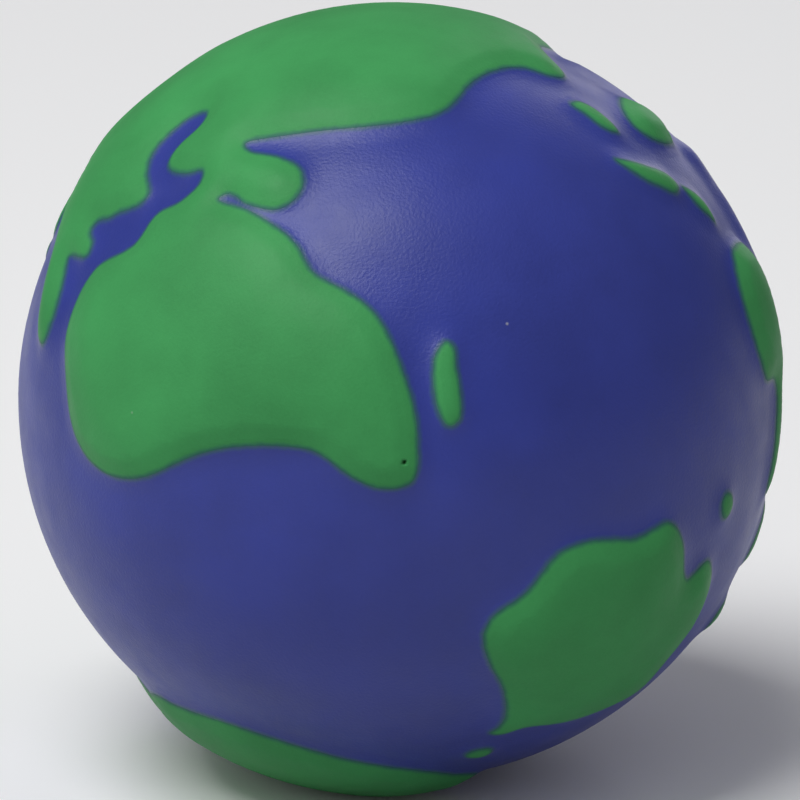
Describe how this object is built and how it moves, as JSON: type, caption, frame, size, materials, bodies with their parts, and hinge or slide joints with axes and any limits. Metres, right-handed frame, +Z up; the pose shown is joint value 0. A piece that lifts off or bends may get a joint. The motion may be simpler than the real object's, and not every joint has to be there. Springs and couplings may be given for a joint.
{
  "type": "stress ball",
  "caption": "Squeezable foam stress ball moulded as a globe, with a blue sea skin and soft raised green lands.",
  "frame": {"origin": "centre of the ball", "axes": "+Z up as the ball lies, -Y towards the front, where East Africa, the Indian Ocean and Madagascar face forwards and 15 degrees upwards, +X to the right; the globe's north pole leans 41.5 degrees to the left of straight up"},
  "size_m": [0.0686, 0.0683, 0.0693],
  "materials": {
    "foam": "matte",
    "blue_skin": "satin",
    "green_land": "satin"
  },
  "bodies": {
    "root": {"foam_core": "foam", "land_africa_eurasia": "green_land", "land_americas": "green_land", "land_antarctica": "green_land", "land_australia": "green_land", "land_baffin": "green_land", "land_borneo": "green_land", "land_cuba": "green_land", "land_falklands": "green_land", "land_great_britain": "green_land", "land_greenland": "green_land", "land_iceland": "green_land", "land_japan": "green_land", "land_java": "green_land", "land_madagascar": "green_land", "land_new_guinea": "green_land", "land_new_zealand_north": "green_land", "land_new_zealand_south": "green_land", "land_philippines": "green_land", "land_sumatra": "green_land", "land_tasmania": "green_land", "land_timor": "green_land", "ocean_skin": "blue_skin"}
  },
  "joints": []
}
